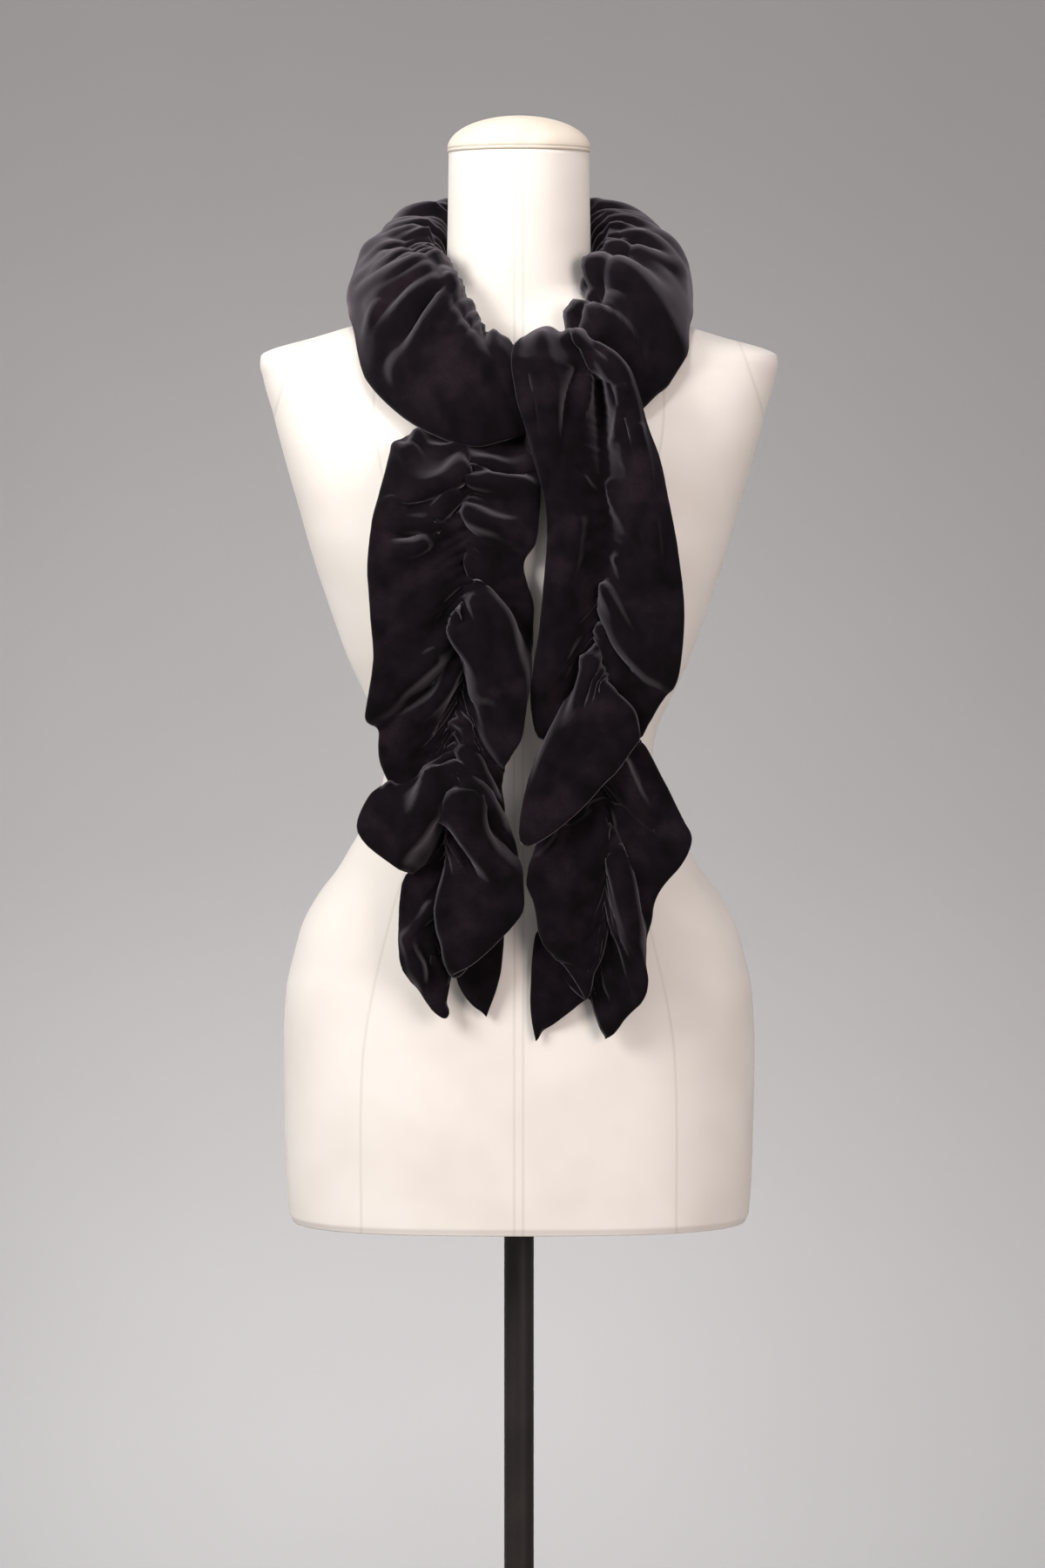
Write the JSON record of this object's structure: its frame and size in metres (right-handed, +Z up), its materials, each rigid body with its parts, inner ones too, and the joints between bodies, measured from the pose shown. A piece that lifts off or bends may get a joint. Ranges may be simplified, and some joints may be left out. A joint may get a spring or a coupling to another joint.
{
  "type": "velvet scarf on a dress form",
  "caption": "Ruched black velvet scarf tied round the neck of a limbless dress form with a domed cap, on a pole and round base.",
  "frame": {"origin": "on the floor at the centre of the round base, under the pole", "axes": "+Z up along the pole, +X to the wearer's left (the viewer's right), -Y towards the viewer in front of the form"},
  "size_m": [0.4, 0.4, 1.5808],
  "materials": {
    "velvet": "black velvet with a soft pile, dark face on and grey where it turns away",
    "form_canvas": "fine cream jersey stretched smooth over a padded form, with thin lengthwise seams",
    "cap_leather": "cream kid with a stitched rim",
    "stand_paint": "black satin paint"
  },
  "bodies": {
    "root": {"torso": "form_canvas", "neck_cap": "cap_leather", "pole": "stand_paint", "base": "stand_paint", "scarf_loop_right": "velvet", "scarf_loop_left": "velvet", "scarf_tail_right": "velvet", "scarf_tail_left": "velvet"}
  },
  "joints": []
}
